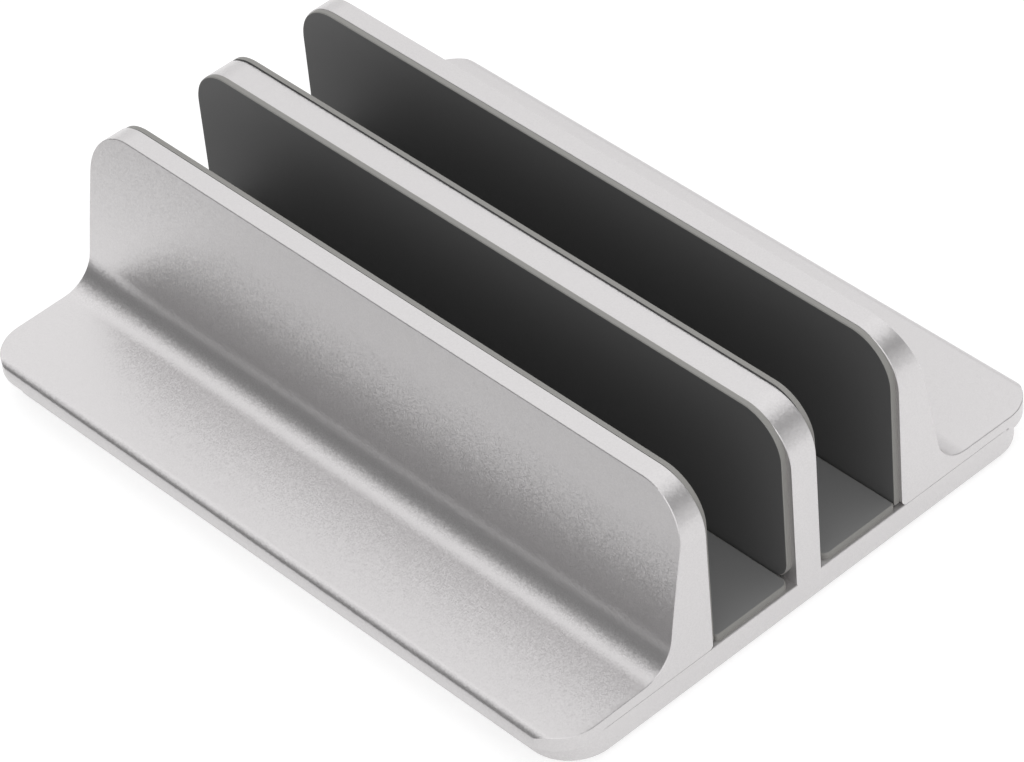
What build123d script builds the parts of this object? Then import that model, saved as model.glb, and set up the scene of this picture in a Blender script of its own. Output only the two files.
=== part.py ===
from build123d import *
import os

# Vertical laptop stand with two slots. X runs across the slots, Y along the walls and Z up.
# The origin is on the desk, below the middle of the stand.

# Base plate and middle wall, one extrusion
LENGTH = 180.0
BASE_HALF_WIDTH = 68.0
BASE_THICKNESS = 6.4
BASE_CORNER_RADIUS = 10.7
BASE_CHAMFER = 0.35
DIVIDER_THICKNESS = 7.0
SLOT_WIDTH = 24.1
WALL_HEIGHT = 42.8
WALL_CORNER_RADIUS = 11.7
EDGE_BREAK = 0.15

# Side wings, with a lip that hooks over the edge of the base plate
WALL_TOP_THICKNESS = 4.9
WALL_FOOT_THICKNESS = 12.2
WALL_BULGE = 0.3
INNER_FOOT_RADIUS = 1.3
ROOT_FILLET = 8.5
FLANGE_THICKNESS = 2.45
FLANGE_RISE = 0.45
FLANGE_OVERHANG = 2.8
FLANGE_EDGE_RADIUS = 2.4
FLANGE_CORNER_RADIUS = 10.4
LIP_DROP = 1.2
LIP_CLEARANCE = 0.3
WING_TRAVEL = 16.0

# Silicone liners on the walls
PAD_THICKNESS = 1.3
PAD_EDGE_BREAK = 0.2
PAD_CLEARANCE = 0.2
WING_PAD_SETBACK = 1.0
WING_PAD_CORNER_RADIUS = 0.5
DIVIDER_PAD_SETBACK = 1.4
DIVIDER_PAD_CORNER_RADIUS = 5.5
DIVIDER_PAD_PROUD = 0.4

# Silicone liners on the floors of the slots
FLOOR_PAD_THICKNESS = 1.45
FLOOR_PAD_SETBACK = 0.65
FLOOR_PAD_INNER_RADIUS = 2.0
FLOOR_PAD_OUTER_RADIUS = 1.0
FLOOR_PAD_EDGE_BREAK = 0.3

# Clamp screws and washers, two sets to a wing
SCREW_DIAMETER = 4.0
SCREW_LENGTH = 10.0
SCREW_INSET = 5.5
SCREW_SPAN = 110.0
SCREW_TIP_CHAMFER = 0.5
THREAD_CLEARANCE = 0.05
THREAD_RELIEF = 0.6
HEAD_DIAMETER = 7.0
HEAD_HEIGHT = 2.4
HEAD_CHAMFER = 0.3
SOCKET_WIDTH = 2.5
SOCKET_DEPTH = 1.4
WASHER_DIAMETER = 9.0
WASHER_THICKNESS = 0.8
WASHER_CLEARANCE = 0.15
SLOT_CLEARANCE = 0.3
GROOVE_CLEARANCE = 0.5
HEAD_RECESS = 0.4

# Rubber feet in shallow pockets under the base plate
FOOT_DIAMETER = 18.0
FOOT_PROUD = 1.0
FOOT_POCKET_DEPTH = 0.8
FOOT_EDGE_INSET = 3.5
FOOT_CLEARANCE = 0.1
FOOT_CHAMFER = 0.4

# Levels, faces and centres that several pieces share
BASE_BOTTOM = FOOT_PROUD
BASE_TOP = BASE_BOTTOM + BASE_THICKNESS
LIP_BOTTOM = BASE_TOP - LIP_DROP
FLANGE_TOP = BASE_TOP + FLANGE_THICKNESS
WALL_TOP = BASE_TOP + WALL_HEIGHT
DIVIDER_FACE = DIVIDER_THICKNESS / 2
WING_FACE = DIVIDER_FACE + SLOT_WIDTH
WING_HALF_WIDTH = BASE_HALF_WIDTH + FLANGE_OVERHANG
GROOVE_DEPTH = HEAD_RECESS + HEAD_HEIGHT + WASHER_THICKNESS
SCREW_X = WING_FACE + SCREW_INSET
SCREW_Y = SCREW_SPAN / 2
FOOT_X = BASE_HALF_WIDTH - FOOT_EDGE_INSET - FOOT_DIAMETER / 2
FOOT_Y = LENGTH / 2 - FOOT_EDGE_INSET - FOOT_DIAMETER / 2

# Left and right across the slots, front and back along them
SIDES = {"left": -1, "right": 1}
ENDS = {"front": -1, "back": 1}
TINY = 1e-6


def plate_outline(grow=0.0):
    """Plan view of the base plate, grown by a clearance where a wing seats over it."""
    width = 2 * (BASE_HALF_WIDTH + grow)
    return RectangleRounded(width, LENGTH + 2 * grow, BASE_CORNER_RADIUS + grow)


def wall_outline(bottom):
    """Side view of a wall from a level up to its top, with both top corners rounded."""
    height = WALL_TOP - bottom
    face = Plane.YZ * Pos(0, bottom + height / 2) * Rectangle(LENGTH, height)
    return fillet(face.vertices().group_by(Axis.Z)[-1], WALL_CORNER_RADIUS)


def make_base():
    """Inverted T: the plate, the middle wall, and what is machined into the underside."""
    plate = Pos(0, 0, BASE_BOTTOM) * extrude(plate_outline(), BASE_THICKNESS)
    plate = chamfer(plate.faces().sort_by(Axis.Z)[0].edges(), BASE_CHAMFER)
    plate = chamfer(plate.faces().sort_by(Axis.Z)[-1].edges(), EDGE_BREAK)
    divider = extrude(wall_outline(BASE_TOP - EDGE_BREAK), DIVIDER_FACE, both=True)
    faces = divider.faces().filter_by(Axis.X)
    rim = faces.edges().filter_by(lambda edge: edge.center().Z > BASE_TOP + TINY)
    base = plate + chamfer(rim, EDGE_BREAK)
    shank_slot = SlotCenterToCenter(WING_TRAVEL, SCREW_DIAMETER + 2 * SLOT_CLEARANCE)
    head_groove = SlotCenterToCenter(WING_TRAVEL, WASHER_DIAMETER + 2 * GROOVE_CLEARANCE)
    foot_pocket = Circle(FOOT_DIAMETER / 2 + FOOT_CLEARANCE)
    for side in SIDES.values():
        for end in ENDS.values():
            slot = Pos(side * (SCREW_X + WING_TRAVEL / 2), end * SCREW_Y, BASE_BOTTOM)
            base -= slot * extrude(shank_slot, BASE_THICKNESS)
            base -= slot * extrude(head_groove, GROOVE_DEPTH)
            foot = Pos(side * FOOT_X, end * FOOT_Y, BASE_BOTTOM)
            base -= foot * extrude(foot_pocket, FOOT_POCKET_DEPTH)
    return base


def wing_section():
    """Section of the right wing across the slots: tapered wall, root curve, flange and lip."""
    seat_start = BASE_HALF_WIDTH - BASE_CORNER_RADIUS
    inner_top = (WING_FACE, WALL_TOP)
    outer_top = (WING_FACE + WALL_TOP_THICKNESS, WALL_TOP)
    root = (WING_FACE + WALL_FOOT_THICKNESS, FLANGE_TOP + FLANGE_RISE)
    middle = ((outer_top[0] + root[0]) / 2 + WALL_BULGE, (outer_top[1] + root[1]) / 2)
    edge_top = (WING_HALF_WIDTH, FLANGE_TOP)
    edge_bottom = (WING_HALF_WIDTH, LIP_BOTTOM)
    outline = Curve() + [
        Polyline(root, edge_top, edge_bottom, (seat_start, LIP_BOTTOM), (seat_start, BASE_TOP)),
        Polyline((seat_start, BASE_TOP), (WING_FACE, BASE_TOP), inner_top, outer_top),
        ThreePointArc(outer_top, middle, root),
    ]
    section = make_face(outline)
    return fillet(section.vertices().sort_by_distance(root)[0], ROOT_FILLET)


def rounded_off(section, corner, radius):
    """What a rounding of the given radius takes off a corner of the section."""
    vertex = section.vertices().sort_by_distance(corner)[0]
    return section - fillet(vertex, radius)


def machined_rim(wing):
    """Edges round the wing's inner face, and one edge of the chain round its outer skin."""
    inner_rim = wing.faces().sort_by(Axis.X)[0].edges().sort_by(Axis.Z)[1:]
    return inner_rim + wing.edges().group_by(Axis.Z)[-1].sort_by(Axis.X)[-1:]


def make_right_wing():
    """Extruded along Y, then machined: ends, the rounded edges, the seat, screw holes."""
    section = wing_section()
    wing = extrude(Plane.XZ * section, LENGTH / 2, both=True)
    plan = RectangleRounded(2 * WING_HALF_WIDTH, LENGTH, FLANGE_CORNER_RADIUS)
    wing &= extrude(plan, WALL_TOP)
    wing &= extrude(wall_outline(LIP_BOTTOM), WING_HALF_WIDTH, both=True)
    wing = chamfer(machined_rim(wing), EDGE_BREAK)
    flange_corner = rounded_off(section, (WING_HALF_WIDTH, FLANGE_TOP), FLANGE_EDGE_RADIUS)
    inner_corner = rounded_off(section, (WING_FACE, BASE_TOP), INNER_FOOT_RADIUS)
    for offcut in (flange_corner, inner_corner):
        wing -= extrude(Plane.XZ * offcut, LENGTH / 2, both=True)
    wing -= Pos(0, 0, LIP_BOTTOM) * extrude(plate_outline(LIP_CLEARANCE), LIP_DROP)
    thread_end = BASE_BOTTOM + HEAD_RECESS + HEAD_HEIGHT + SCREW_LENGTH + THREAD_RELIEF
    thread_hole = Circle(SCREW_DIAMETER / 2 + THREAD_CLEARANCE)
    for end in ENDS.values():
        hole = extrude(thread_hole, thread_end - BASE_TOP)
        wing -= Pos(SCREW_X, end * SCREW_Y, BASE_TOP) * hole
    return wing


def make_wall_pad(setback, top, corner_radius):
    """Liner on the right face of a wall, drawn with its back on X = 0."""
    bottom = BASE_TOP + PAD_CLEARANCE
    height = top - bottom
    face = Plane.YZ * Pos(0, bottom + height / 2) * Rectangle(LENGTH - 2 * setback, height)
    face = fillet(face.vertices().group_by(Axis.Z)[-1], WALL_CORNER_RADIUS - setback)
    face = fillet(face.vertices().group_by(Axis.Z)[0], corner_radius)
    pad = extrude(face, PAD_THICKNESS)
    return chamfer(pad.faces().sort_by(Axis.X)[-1].edges(), PAD_EDGE_BREAK)


def make_floor_pad():
    """Liner on the floor of the right slot, rounder at its corners beside the middle wall."""
    width = SLOT_WIDTH - 2 * (PAD_THICKNESS + PAD_CLEARANCE)
    outline = Rectangle(width, LENGTH - 2 * FLOOR_PAD_SETBACK)
    outline = fillet(outline.vertices().group_by(Axis.X)[0], FLOOR_PAD_INNER_RADIUS)
    outline = fillet(outline.vertices().group_by(Axis.X)[-1], FLOOR_PAD_OUTER_RADIUS)
    pad = extrude(outline, FLOOR_PAD_THICKNESS)
    pad = chamfer(pad.faces().sort_by(Axis.Z)[-1].edges(), FLOOR_PAD_EDGE_BREAK)
    return Pos(DIVIDER_FACE + SLOT_WIDTH / 2, 0, BASE_TOP) * pad


def make_screw():
    """Low-head socket screw, upright, with the underside of its head on Z = 0."""
    head = extrude(Circle(HEAD_DIAMETER / 2), -HEAD_HEIGHT)
    bearing = head.faces().sort_by(Axis.Z)[0]
    head = chamfer(bearing.edges(), HEAD_CHAMFER)
    socket = extrude(RegularPolygon(SOCKET_WIDTH / 2, 6, major_radius=False), SOCKET_DEPTH)
    head -= Pos(0, 0, -HEAD_HEIGHT) * socket
    shank = extrude(Circle(SCREW_DIAMETER / 2), SCREW_LENGTH)
    shank = chamfer(shank.faces().sort_by(Axis.Z)[-1].edges(), SCREW_TIP_CHAMFER)
    return head + shank


def make_washer():
    """Flat washer, resting on Z = 0."""
    ring = Circle(WASHER_DIAMETER / 2) - Circle(SCREW_DIAMETER / 2 + WASHER_CLEARANCE)
    return extrude(ring, WASHER_THICKNESS)


def make_foot():
    """Round rubber foot, standing on Z = 0."""
    foot = extrude(Circle(FOOT_DIAMETER / 2), FOOT_PROUD + FOOT_POCKET_DEPTH)
    return chamfer(foot.faces().sort_by(Axis.Z)[0].edges(), FOOT_CHAMFER)


right_wing = make_right_wing()
divider_pad_top = WALL_TOP + DIVIDER_PAD_PROUD
divider_pad = make_wall_pad(DIVIDER_PAD_SETBACK, divider_pad_top, DIVIDER_PAD_CORNER_RADIUS)
wing_pad = make_wall_pad(WING_PAD_SETBACK, WALL_TOP, WING_PAD_CORNER_RADIUS)
floor_pad = make_floor_pad()
screw = make_screw()
washer = make_washer()
foot = make_foot()
head_top = BASE_BOTTOM + HEAD_RECESS + HEAD_HEIGHT

nodes = {
    "base_divider": make_base(),
    "right_wing": right_wing,
    "left_wing": mirror(right_wing, Plane.YZ),
    "divider_pad_right": Pos(DIVIDER_FACE, 0, 0) * divider_pad,
    "divider_pad_left": Pos(-DIVIDER_FACE, 0, 0) * mirror(divider_pad, Plane.YZ),
    "right_wing_pad": Pos(WING_FACE, 0, 0) * mirror(wing_pad, Plane.YZ),
    "left_wing_pad": Pos(-WING_FACE, 0, 0) * wing_pad,
    "floor_pad_right": floor_pad,
    "floor_pad_left": mirror(floor_pad, Plane.YZ),
}
for side_name, side in SIDES.items():
    for end_name, end in ENDS.items():
        place = f"{side_name}_{end_name}"
        under_head = Pos(side * SCREW_X, end * SCREW_Y, head_top)
        nodes[f"clamp_screw_{place}"] = under_head * screw
        nodes[f"washer_{place}"] = under_head * washer
        nodes[f"foot_{place}"] = Pos(side * FOOT_X, end * FOOT_Y, 0) * foot

os.makedirs("parts", exist_ok=True)
for name, shape in nodes.items():
    export_step(shape, f"parts/{name}.step")
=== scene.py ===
import math

import bpy
from mathutils import Matrix, Vector

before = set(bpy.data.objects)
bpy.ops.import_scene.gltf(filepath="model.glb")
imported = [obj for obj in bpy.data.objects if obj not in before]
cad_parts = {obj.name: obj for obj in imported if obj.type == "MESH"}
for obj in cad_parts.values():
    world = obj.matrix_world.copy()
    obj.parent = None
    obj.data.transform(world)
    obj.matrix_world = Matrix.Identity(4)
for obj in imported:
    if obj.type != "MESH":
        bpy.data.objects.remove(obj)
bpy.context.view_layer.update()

# Camera, solved from the vanishing points of the photograph
CAMERA_PLACE = (-0.5037, -0.6060, 0.7003)
CAMERA_RIGHT = (0.7218, -0.6880, -0.0744)
CAMERA_DOWN = (-0.4974, -0.4411, -0.7469)
CAMERA_FORWARD = (0.4811, 0.5762, -0.6606)
CAMERA_LENS = 173.27
CAMERA_SENSOR = 36.0
CAMERA_RANGE = (0.01, 50.0)
HALF_PIXEL = 0.5 / 1024

# Studio light: a dim room, and for each light or dark flag its direction, the angles in
# degrees up to which it is full and from which it is gone, and its radiance
ROOM_LIGHT = 0.22
LIGHTS = {
    "left_softbox": ((-0.88, -0.46, 0.12), 42, 74, 1.5),
    "back_left_flag": ((-0.7, 0.58, 0.32), 18, 44, 0.1),
    "front_right_fill": ((0.5, -0.85, 0.0), 8, 42, 0.8),
    "front_softbox": ((-0.45, -0.85, 0.3), 22, 48, 1.3),
    "overhead_softbox": ((0.5, 0.5, 0.7), 32, 66, 1.27),
    "back_right_panel": ((0.75, 0.6, 0.0), 25, 45, 0.92),
}

# White table: its own colour, what lifts it to plain white for the camera, and a painted
# reflection glow that only reflections see, set at places along X and darker towards the left as
# painted shade
FLOOR_HALF_SIZE = 6.0
FLOOR_COLOUR = (0.5, 0.5, 0.5, 1.0)
CAMERA_LIFT = 0.66
PAINTED_REFLECTION_LIFTS = ((-0.17, 0.0), (-0.12, 0.5), (-0.1, 0.53), (-0.065, 0.74))

# Blasted aluminium: the grains have a size in metres, a tilt, and a shade for the darkest
METAL_COLOUR = (0.652, 0.636, 0.639, 1.0)
METALLIC = 0.8
METAL_ROUGHNESS = 0.33
GRAIN_SIZE = 0.0003
GRAIN_TILT = 0.1
GRAIN_SHADE = 0.94

# Silicone liners and rubber feet: a painted highlight lies on a liner's edges and starts where
# its surface turns away from the direction that it faces, between two cosines
# The wall liners are the same silicone as the floor liners: their darker colour is painted shade
# of the slots, and the floor liners' colour is the lit copy
WALL_LINER_PAINTED_SHADE_COLOUR = (0.095, 0.095, 0.095, 1.0)
FLOOR_LINER_COLOUR = (0.22, 0.22, 0.22, 1.0)
LINER_EDGE_PAINTED_HIGHLIGHT = (0.29, 0.284, 0.27, 1.0)
LINER_HIGHLIGHT_TURN = (0.75, 0.95)
LINER_ROUGHNESS = 0.55
FOOT_COLOUR = (0.03, 0.03, 0.03, 1.0)
FOOT_ROUGHNESS = 0.7
RUBBER_GRAIN_SIZE = 0.0006
RUBBER_GRAIN_DEPTH = 0.00002

# Plated screws and washers, with clouds of roughness
STEEL_COLOUR = (0.55, 0.55, 0.56, 1.0)
STEEL_ROUGHNESS = (0.22, 0.38)
STEEL_CLOUD_SIZE = 0.001

NOISE_DETAIL = 2.0
SMOOTH_ANGLE = math.radians(30)
WELD_DISTANCE = 1e-6
WHITE = (1.0, 1.0, 1.0, 1.0)


def new_material(name):
    material = bpy.data.materials.new(name)
    material.use_nodes = True
    nodes = material.node_tree.nodes
    nodes.clear()
    shader = nodes.new("ShaderNodeBsdfPrincipled")
    output = nodes.new("ShaderNodeOutputMaterial")
    material.node_tree.links.new(shader.outputs["BSDF"], output.inputs["Surface"])
    return material, shader


def add_node(tree, kind, **values):
    """Adds a node and sets its properties, and the inputs whose names are given."""
    node = tree.nodes.new(kind)
    for key, value in values.items():
        if hasattr(node, key):
            setattr(node, key, value)
        else:
            node.inputs[key.replace("_", " ")].default_value = value
    return node


def feed(tree, sockets, values):
    """Gives each input its value, which is a link or a constant."""
    for socket, value in zip(sockets, values):
        if isinstance(value, bpy.types.NodeSocket):
            tree.links.new(value, socket)
        else:
            socket.default_value = value


def number_math(tree, operation, *values):
    node = add_node(tree, "ShaderNodeMath", operation=operation)
    feed(tree, node.inputs, values)
    return node.outputs["Value"]


def vector_math(tree, operation, *values):
    node = add_node(tree, "ShaderNodeVectorMath", operation=operation)
    feed(tree, node.inputs, values)
    return node.outputs["Value" if operation == "DOT_PRODUCT" else "Vector"]


def mix_colours(tree, factor, first, second):
    node = add_node(tree, "ShaderNodeMix", data_type="RGBA")
    feed(tree, (node.inputs[0], node.inputs[6], node.inputs[7]), (factor, first, second))
    return node.outputs[2]


def map_range(tree, value, start, end, **values):
    """Maps a value between start and end to 0 and 1, or to To_Min and To_Max if given."""
    node = add_node(tree, "ShaderNodeMapRange", From_Min=start, From_Max=end, **values)
    tree.links.new(value, node.inputs["Value"])
    return node.outputs["Result"]


def coordinates(tree, kind):
    return add_node(tree, "ShaderNodeTexCoord").outputs[kind]


def separate(tree, vector):
    """The outputs X, Y and Z of a vector."""
    node = add_node(tree, "ShaderNodeSeparateXYZ")
    tree.links.new(vector, node.inputs["Vector"])
    return node.outputs


def noise(tree, size):
    """Noise whose features have about the given size in metres."""
    texture = add_node(tree, "ShaderNodeTexNoise", Scale=1.0 / size, Detail=NOISE_DETAIL)
    tree.links.new(coordinates(tree, "Object"), texture.inputs["Vector"])
    return texture.outputs["Fac"]


def blasted_metal(name, colour):
    """Bead-blasted aluminium: fine grains, each tilted its own way and a little its own shade."""
    material, shader = new_material(name)
    tree = material.node_tree
    shader.inputs["Metallic"].default_value = METALLIC
    shader.inputs["Roughness"].default_value = METAL_ROUGHNESS
    cell = vector_math(tree, "SNAP", coordinates(tree, "Object"), (GRAIN_SIZE,) * 3)
    chance = add_node(tree, "ShaderNodeTexWhiteNoise")
    tree.links.new(cell, chance.inputs["Vector"])
    centred = vector_math(tree, "SUBTRACT", chance.outputs["Color"], (0.5,) * 3)
    surface = add_node(tree, "ShaderNodeNewGeometry").outputs["Normal"]
    turned = vector_math(tree, "MULTIPLY_ADD", centred, (GRAIN_TILT,) * 3, surface)
    tree.links.new(vector_math(tree, "NORMALIZE", turned), shader.inputs["Normal"])
    darkest = [part * GRAIN_SHADE for part in colour[:3]] + [1.0]
    shade = mix_colours(tree, chance.outputs["Value"], darkest, colour)
    tree.links.new(shade, shader.inputs["Base Color"])
    return material


def rubber(name, colour, roughness):
    material, shader = new_material(name)
    tree = material.node_tree
    shader.inputs["Base Color"].default_value = colour
    shader.inputs["Roughness"].default_value = roughness
    bump = add_node(tree, "ShaderNodeBump", Strength=1.0, Distance=RUBBER_GRAIN_DEPTH)
    tree.links.new(noise(tree, RUBBER_GRAIN_SIZE), bump.inputs["Height"])
    tree.links.new(bump.outputs["Normal"], shader.inputs["Normal"])
    return material


def liner(name, colour, axis):
    """Rubber sheet that faces along an axis, with a painted highlight on its edges all round."""
    material = rubber(name, colour, LINER_ROUGHNESS)
    tree = material.node_tree
    normal = separate(tree, coordinates(tree, "Normal"))
    facing = number_math(tree, "ABSOLUTE", normal[axis])
    face = map_range(tree, facing, *LINER_HIGHLIGHT_TURN)
    # painted highlight: a paler colour where the surface turns away from the axis that the sheet
    # faces
    blend = mix_colours(tree, face, LINER_EDGE_PAINTED_HIGHLIGHT, colour)
    tree.links.new(blend, tree.nodes["Principled BSDF"].inputs["Base Color"])
    return material


def plated_steel(name, colour):
    material, shader = new_material(name)
    tree = material.node_tree
    shader.inputs["Base Color"].default_value = colour
    shader.inputs["Metallic"].default_value = 1.0
    low, high = STEEL_ROUGHNESS
    clouds = map_range(tree, noise(tree, STEEL_CLOUD_SIZE), 0.0, 1.0, To_Min=low, To_Max=high)
    tree.links.new(clouds, shader.inputs["Roughness"])
    return material


def smooth_group():
    """Smooths faces that meet at less than the smooth angle, and keeps the sharper edges."""
    group = bpy.data.node_groups.new("smooth_by_angle", "GeometryNodeTree")
    group.interface.new_socket("Geometry", in_out="INPUT", socket_type="NodeSocketGeometry")
    group.interface.new_socket("Geometry", in_out="OUTPUT", socket_type="NodeSocketGeometry")
    start = add_node(group, "NodeGroupInput")
    end = add_node(group, "NodeGroupOutput")
    angle = add_node(group, "GeometryNodeInputMeshEdgeAngle")
    below = add_node(group, "FunctionNodeCompare", data_type="FLOAT", operation="LESS_THAN")
    below.inputs["B"].default_value = SMOOTH_ANGLE
    edges = add_node(group, "GeometryNodeSetShadeSmooth", domain="EDGE")
    faces = add_node(group, "GeometryNodeSetShadeSmooth", domain="FACE")
    group.links.new(angle.outputs["Unsigned Angle"], below.inputs["A"])
    group.links.new(start.outputs["Geometry"], edges.inputs["Geometry"])
    group.links.new(below.outputs["Result"], edges.inputs["Shade Smooth"])
    group.links.new(edges.outputs["Geometry"], faces.inputs["Geometry"])
    group.links.new(faces.outputs["Geometry"], end.inputs["Geometry"])
    return group


def dress(pieces):
    """Gives each piece its finish and smooth shading."""
    metal = blasted_metal("blasted_metal", METAL_COLOUR)
    # painted shade: the wall liners get a darker copy of the liner colour
    shaded_wall_liner = liner("shaded_wall_liner", WALL_LINER_PAINTED_SHADE_COLOUR, "X")
    floor_liner = liner("floor_liner", FLOOR_LINER_COLOUR, "Z")
    foot = rubber("foot_rubber", FOOT_COLOUR, FOOT_ROUGHNESS)
    steel = plated_steel("plated_steel", STEEL_COLOUR)
    group = smooth_group()
    for name, piece in pieces.items():
        if name.startswith("floor_pad"):
            finish = floor_liner
        elif "pad" in name:
            finish = shaded_wall_liner
        elif name.startswith("foot"):
            finish = foot
        elif name.startswith(("clamp_screw", "washer")):
            finish = steel
        else:
            finish = metal
        for place in piece.material_slots:
            place.material = finish
        weld = piece.modifiers.new("weld", "WELD")
        weld.merge_threshold = WELD_DISTANCE
        smooth = piece.modifiers.new("smooth", "NODES")
        smooth.node_group = group


def make_camera():
    camera = bpy.data.objects.new("camera", bpy.data.cameras.new("camera"))
    bpy.context.scene.collection.objects.link(camera)
    axes = (Vector(CAMERA_RIGHT), -Vector(CAMERA_DOWN), -Vector(CAMERA_FORWARD))
    turn = Matrix(axes).transposed().to_4x4()
    camera.matrix_world = Matrix.Translation(CAMERA_PLACE) @ turn
    camera.data.sensor_width = CAMERA_SENSOR
    camera.data.lens = CAMERA_LENS
    camera.data.shift_x = -HALF_PIXEL
    camera.data.shift_y = HALF_PIXEL
    camera.data.clip_start, camera.data.clip_end = CAMERA_RANGE
    bpy.context.scene.camera = camera


def painted_reflection_lift(tree):
    """Painted reflection glow on the table that only reflections see, by the place along X,
    darker towards the left as painted shade.
    """
    across = separate(tree, coordinates(tree, "Object"))["X"]
    first, last = PAINTED_REFLECTION_LIFTS[0][0], PAINTED_REFLECTION_LIFTS[-1][0]
    ramp = add_node(tree, "ShaderNodeValToRGB")
    tree.links.new(map_range(tree, across, first, last), ramp.inputs["Fac"])
    stops = ramp.color_ramp.elements
    for x, _ in PAINTED_REFLECTION_LIFTS[1:-1]:
        stops.new((x - first) / (last - first))
    for stop, (_, level) in zip(stops, PAINTED_REFLECTION_LIFTS):
        stop.color = (level, level, level, 1.0)
    return ramp.outputs["Color"]


def make_floor():
    """White table: the room lights it, the camera sees it lifted towards white, and the metal
    sees it with a painted reflection glow that is darker towards the left.
    """
    half = FLOOR_HALF_SIZE
    corners = [(-half, -half, 0), (half, -half, 0), (half, half, 0), (-half, half, 0)]
    data = bpy.data.meshes.new("floor")
    data.from_pydata(corners, [], [(0, 1, 2, 3)])
    floor = bpy.data.objects.new("floor", data)
    bpy.context.scene.collection.objects.link(floor)
    material, shader = new_material("floor")
    tree = material.node_tree
    shader.inputs["Base Color"].default_value = FLOOR_COLOUR
    shader.inputs["Roughness"].default_value = 1.0
    shader.inputs["Specular IOR Level"].default_value = 0.0
    shader.inputs["Emission Color"].default_value = WHITE
    ray = add_node(tree, "ShaderNodeLightPath").outputs
    # painted reflection: the table glows for glossy rays only, less towards the left as painted
    # shade
    reflection_glow = number_math(tree, "MULTIPLY", ray["Is Glossy Ray"], painted_reflection_lift(tree))
    direct = number_math(tree, "MAXIMUM", ray["Is Camera Ray"], ray["Is Transmission Ray"])
    lift = number_math(tree, "MULTIPLY_ADD", direct, CAMERA_LIFT, reflection_glow)
    tree.links.new(lift, shader.inputs["Emission Strength"])
    data.materials.append(material)


def make_world():
    """Radiance by direction, each light laid over the room and the lights before it, and plain
    white for the camera."""
    world = bpy.data.worlds.new("studio")
    bpy.context.scene.world = world
    world.use_nodes = True
    tree = world.node_tree
    view = coordinates(tree, "Generated")
    level = ROOM_LIGHT
    for direction, full, gone, radiance in LIGHTS.values():
        aim = vector_math(tree, "DOT_PRODUCT", view, Vector(direction).normalized())
        limits = math.cos(math.radians(gone)), math.cos(math.radians(full))
        mask = map_range(tree, aim, *limits, interpolation_type="SMOOTHSTEP")
        blend = add_node(tree, "ShaderNodeMix", data_type="FLOAT")
        sockets = (blend.inputs["Factor"], blend.inputs["A"], blend.inputs["B"])
        feed(tree, sockets, (mask, level, radiance))
        level = blend.outputs["Result"]
    ray = add_node(tree, "ShaderNodeLightPath").outputs
    seen = number_math(tree, "MAXIMUM", level, ray["Is Camera Ray"])
    background = tree.nodes["Background"]
    background.inputs["Color"].default_value = WHITE
    tree.links.new(seen, background.inputs["Strength"])


dress(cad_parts)
make_camera()
make_floor()
make_world()
bpy.context.scene.view_settings.view_transform = "Standard"
